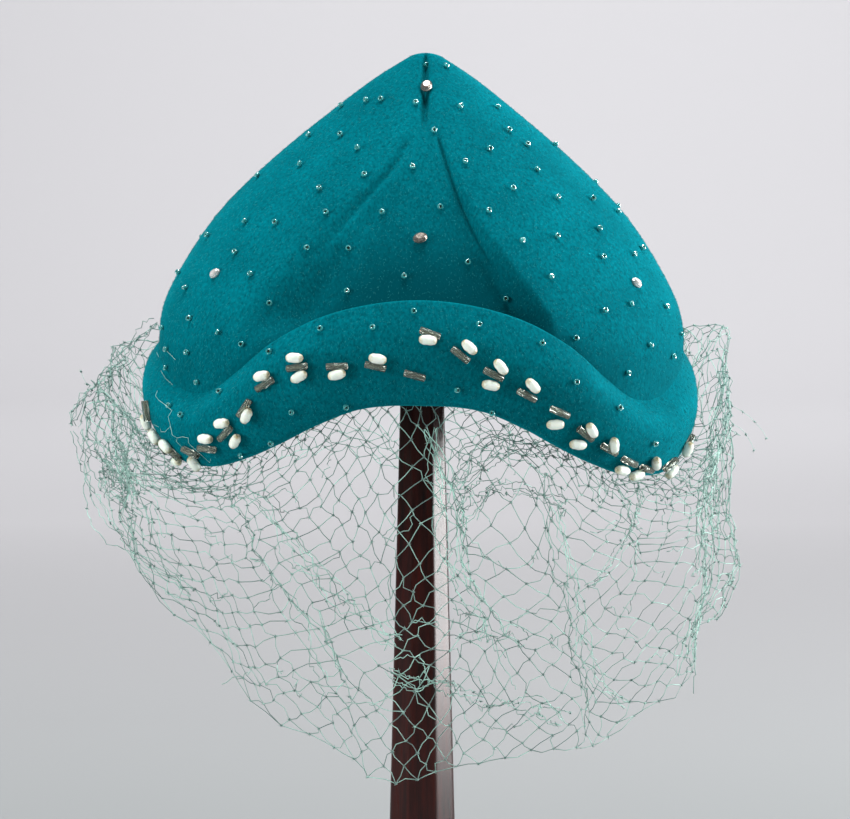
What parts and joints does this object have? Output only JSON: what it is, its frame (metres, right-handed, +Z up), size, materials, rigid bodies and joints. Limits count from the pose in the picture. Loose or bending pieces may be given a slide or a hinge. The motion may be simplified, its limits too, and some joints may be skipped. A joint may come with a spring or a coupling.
{
  "type": "veiled felt hat on a post stand",
  "caption": "Peaked felt cap with a turned-up cuff, pearl and bead trim and a gathered net veil, held up by a plain wooden post stand.",
  "frame": {"origin": "middle of the underside of the stand's foot, straight below the crown's peak", "axes": "+Z up, -Y towards the face side of the hat, +X to the right as seen from the front"},
  "size_m": [0.2301, 0.227, 0.313],
  "materials": {
    "felt": "teal velour felt with a short brushed nap",
    "net": "green knotted net of fine thread",
    "pearl": "ivory pearl lacquer with a soft gloss",
    "stone": "clear cut glass with a silvered back",
    "wood": "dark mahogany stain under a satin varnish"
  },
  "bodies": {
    "root": {"crown": "felt", "cuff": "felt", "veil": "net", "pearl_01": "pearl", "pearl_02": "pearl", "pearl_03": "pearl", "pearl_04": "pearl", "pearl_05": "pearl", "pearl_06": "pearl", "pearl_07": "pearl", "pearl_08": "pearl", "pearl_09": "pearl", "pearl_10": "pearl", "pearl_11": "pearl", "pearl_12": "pearl", "pearl_13": "pearl", "pearl_14": "pearl", "pearl_15": "pearl", "pearl_16": "pearl", "pearl_17": "pearl", "pearl_18": "pearl", "pearl_19": "pearl", "pearl_20": "pearl", "pearl_21": "pearl", "pearl_22": "pearl", "pearl_23": "pearl", "pearl_24": "pearl", "pearl_25": "pearl", "pearl_26": "pearl", "pearl_27": "pearl", "pearl_28": "pearl", "stone_peak": "stone", "stone_front": "stone", "stand_post": "wood", "stand_foot": "wood"}
  },
  "joints": []
}
